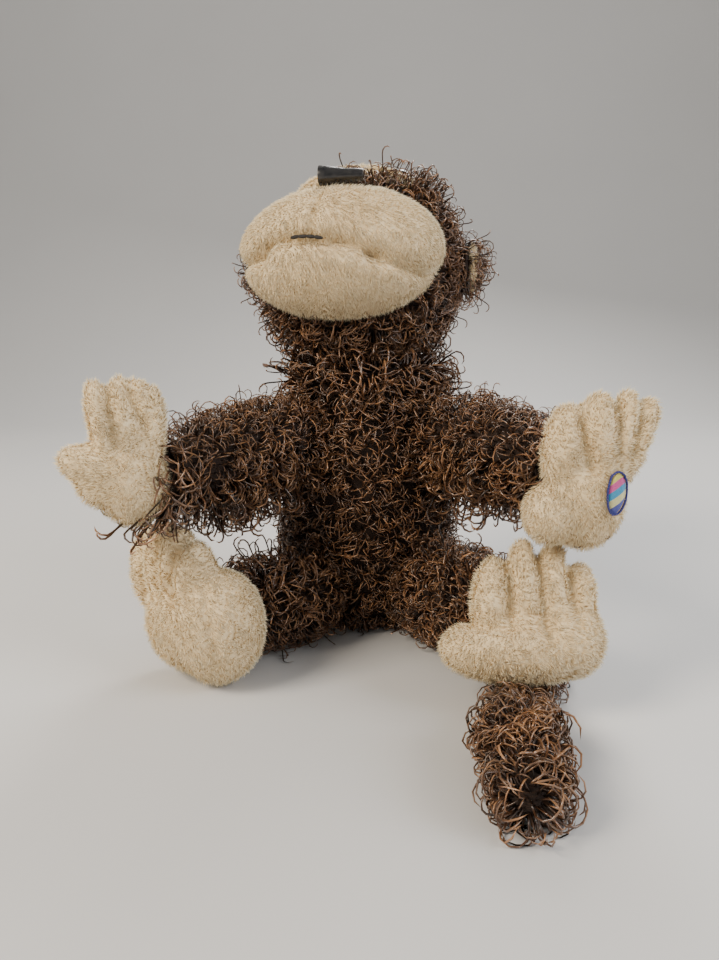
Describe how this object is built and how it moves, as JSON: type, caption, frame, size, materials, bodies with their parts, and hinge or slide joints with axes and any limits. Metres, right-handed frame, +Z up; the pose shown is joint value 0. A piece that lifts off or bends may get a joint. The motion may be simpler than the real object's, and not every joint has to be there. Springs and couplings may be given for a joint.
{
  "type": "stuffed monkey",
  "caption": "Seated curly-furred stuffed monkey with a cream muzzle, mitten hands and feet, and a long tail; neck, shoulders, wrists, hips, ankles and tail bend.",
  "frame": {"origin": "centre of the flat seat under the torso, on the table", "axes": "+Z up, the toy faces -Y, and its left hand is on the +X side"},
  "size_m": [0.2236, 0.2438, 0.2237],
  "materials": {
    "brown_fur": "long curly fur",
    "cream_plush": "short soft plush",
    "fibre_fill": "loose fibre",
    "bean_pouch": "woven cloth",
    "lining": "woven cloth",
    "leatherette": "glossy",
    "black_plastic": "glossy",
    "white_plastic": "satin",
    "thread": "twisted thread",
    "embroidery": "satin stitch",
    "label": "satin"
  },
  "bodies": {
    "torso": {"torso_cover": "brown_fur", "torso_stuffing": "fibre_fill", "seat_bean_pouch": "bean_pouch", "care_label": "label"},
    "neck_outer": {"neck_lining_outer": "lining"},
    "neck_inner": {"neck_lining_inner": "lining"},
    "head": {"head_cover": "brown_fur", "face_mask": "cream_plush", "head_stuffing": "fibre_fill", "eye_left": "black_plastic", "eye_right": "black_plastic", "eye_washer_left": "white_plastic", "eye_washer_right": "white_plastic", "muzzle_upper": "cream_plush", "chin_cover": "cream_plush", "muzzle_stuffing": "fibre_fill", "nose": "leatherette", "mouth_thread": "thread", "ear_back_left": "brown_fur", "ear_back_right": "brown_fur", "ear_lining_left": "cream_plush", "ear_lining_right": "cream_plush"},
    "shoulder_right": {"shoulder_lining_right": "lining"},
    "arm_right": {"arm_right_cover": "brown_fur", "arm_right_stuffing": "fibre_fill"},
    "hand_right": {"hand_right_cover": "cream_plush", "hand_right_stuffing": "fibre_fill"},
    "shoulder_left": {"shoulder_lining_left": "lining"},
    "arm_left": {"arm_left_cover": "brown_fur", "arm_left_stuffing": "fibre_fill"},
    "hand_left": {"hand_left_cover": "cream_plush", "hand_left_stuffing": "fibre_fill", "palm_embroidery": "embroidery"},
    "hip_right": {"hip_lining_right": "lining"},
    "leg_right": {"leg_right_cover": "brown_fur", "leg_right_stuffing": "fibre_fill"},
    "foot_right": {"foot_right_cover": "cream_plush", "foot_right_beans": "bean_pouch"},
    "leg_left": {"leg_left_cover": "brown_fur", "leg_left_stuffing": "fibre_fill"},
    "foot_left": {"foot_left_cover": "cream_plush", "foot_left_beans": "bean_pouch"},
    "tail": {"tail_cover": "brown_fur", "tail_stuffing": "fibre_fill"},
    "tail_tip": {"tail_tip_cover": "brown_fur", "tail_tip_stuffing": "fibre_fill"}
  },
  "joints": [
    {"name": "neck_turn", "type": "hinge", "parent": "torso", "child": "neck_outer", "pos_m": [0, 0.008, 0.15], "axis": [0, 0, 1], "range_deg": [-40, 40], "stiffness_Nm_per_rad": 0.15},
    {"name": "neck_tilt", "type": "hinge", "parent": "neck_outer", "child": "neck_inner", "pos_m": [0, 0.008, 0.15], "axis": [0, 1, 0], "range_deg": [-15, 15], "stiffness_Nm_per_rad": 0.5},
    {"name": "head_nod", "type": "hinge", "parent": "neck_inner", "child": "head", "pos_m": [0, 0.008, 0.15], "axis": [1, 0, 0], "range_deg": [-8, 25], "stiffness_Nm_per_rad": 0.5},
    {"name": "shoulder_swing_right", "type": "hinge", "parent": "torso", "child": "shoulder_right", "pos_m": [-0.03805, -0.012, 0.096], "axis": [0, 0, -1], "range_deg": [-4, 30], "stiffness_Nm_per_rad": 0.05},
    {"name": "shoulder_lift_right", "type": "hinge", "parent": "shoulder_right", "child": "arm_right", "pos_m": [-0.03805, -0.012, 0.096], "axis": [-0.8205, 0.5716, 0], "range_deg": [0, 40]},
    {"name": "wrist_right", "type": "hinge", "parent": "arm_right", "child": "hand_right", "pos_m": [-0.084, -0.078, 0.088], "axis": [-0.9164, -0.4002, 0], "range_deg": [0, 30]},
    {"name": "shoulder_swing_left", "type": "hinge", "parent": "torso", "child": "shoulder_left", "pos_m": [0.03805, -0.012, 0.096], "axis": [0, 0, 1], "range_deg": [-4, 30], "stiffness_Nm_per_rad": 0.05},
    {"name": "shoulder_lift_left", "type": "hinge", "parent": "shoulder_left", "child": "arm_left", "pos_m": [0.03805, -0.012, 0.096], "axis": [-0.8944, -0.4472, 0], "range_deg": [0, 40]},
    {"name": "wrist_left", "type": "hinge", "parent": "arm_left", "child": "hand_left", "pos_m": [0.075, -0.086, 0.091], "axis": [-1, 0, 0], "range_deg": [0, 30]},
    {"name": "hip_swing_right", "type": "hinge", "parent": "torso", "child": "hip_right", "pos_m": [-0.0301, -0.033, 0.021], "axis": [0, 0, -1], "range_deg": [-12, 25], "stiffness_Nm_per_rad": 0.05},
    {"name": "hip_lower_right", "type": "hinge", "parent": "hip_right", "child": "leg_right", "pos_m": [-0.0301, -0.033, 0.021], "axis": [-0.6073, 0.7944, 0], "range_deg": [-50, 0]},
    {"name": "ankle_right", "type": "hinge", "parent": "leg_right", "child": "foot_right", "pos_m": [-0.064, -0.059, 0.025], "axis": [-0.72, 0.694, 0], "range_deg": [-10, 25]},
    {"name": "hip_swing_left", "type": "hinge", "parent": "torso", "child": "leg_left", "pos_m": [0.0301, -0.033, 0.021], "axis": [0, 0, 1], "range_deg": [-8, 15], "stiffness_Nm_per_rad": 0.05},
    {"name": "ankle_left", "type": "hinge", "parent": "leg_left", "child": "foot_left", "pos_m": [0.058, -0.084, 0.028], "axis": [-1, 0, 0], "range_deg": [0, 20]},
    {"name": "tail_swing", "type": "hinge", "parent": "torso", "child": "tail", "pos_m": [0.006, 0.038, 0.017], "axis": [0, 0, 1], "range_deg": [0, 20]},
    {"name": "tail_tip_swing", "type": "hinge", "parent": "tail", "child": "tail_tip", "pos_m": [0.053, -0.128, 0.0085], "axis": [0, 0, 1], "range_deg": [-25, 25]}
  ]
}
